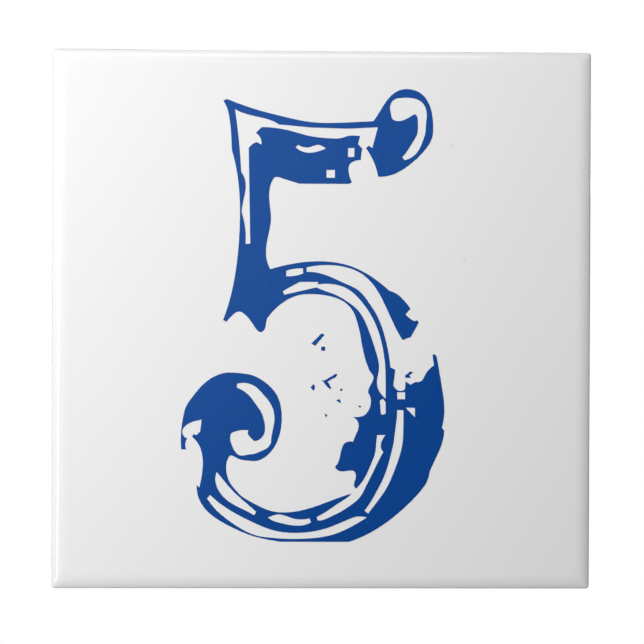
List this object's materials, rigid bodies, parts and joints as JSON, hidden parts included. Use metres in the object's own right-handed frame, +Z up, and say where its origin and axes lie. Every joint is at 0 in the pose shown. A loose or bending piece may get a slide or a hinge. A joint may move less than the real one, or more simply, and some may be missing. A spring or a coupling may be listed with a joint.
{
  "type": "house number plaque",
  "caption": "Square white glazed ceramic tile with cushioned edges, a large house number printed on its face in worn blue, and a keyed back for fixing to a wall.",
  "frame": {"origin": "middle of the tile's back, on the wall", "axes": "+X to the right as the number is read, +Y into the wall, +Z up"},
  "size_m": [0.108, 0.0065, 0.108],
  "materials": {
    "white_glaze": "gloss",
    "blue_print": "gloss"
  },
  "bodies": {
    "root": {"tile": "white_glaze", "numeral": "blue_print"}
  },
  "joints": []
}
